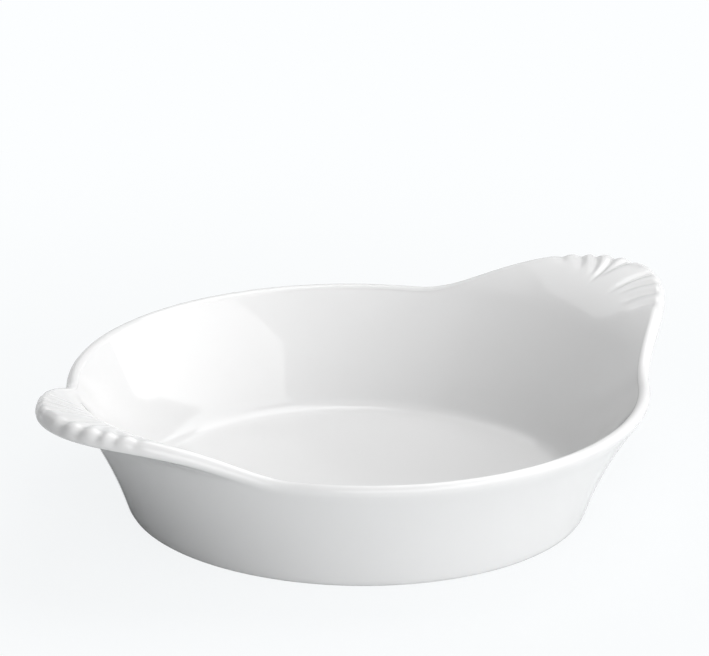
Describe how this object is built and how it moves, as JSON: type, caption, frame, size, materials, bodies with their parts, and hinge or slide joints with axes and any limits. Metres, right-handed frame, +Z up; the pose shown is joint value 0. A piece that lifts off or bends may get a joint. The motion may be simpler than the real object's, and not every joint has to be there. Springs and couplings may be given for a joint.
{
  "type": "egg dish",
  "caption": "Round porcelain egg dish: flat floor, flaring wall with a rounded lip that rises into two opposite fluted shell ears.",
  "frame": {"origin": "centre of the foot, on the table", "axes": "+Z up, +X along the centre line of the two ears"},
  "size_m": [0.1944, 0.15, 0.0447],
  "materials": {
    "glazed_porcelain": "gloss glaze"
  },
  "bodies": {
    "root": {"egg_dish": "glazed_porcelain"}
  },
  "joints": []
}
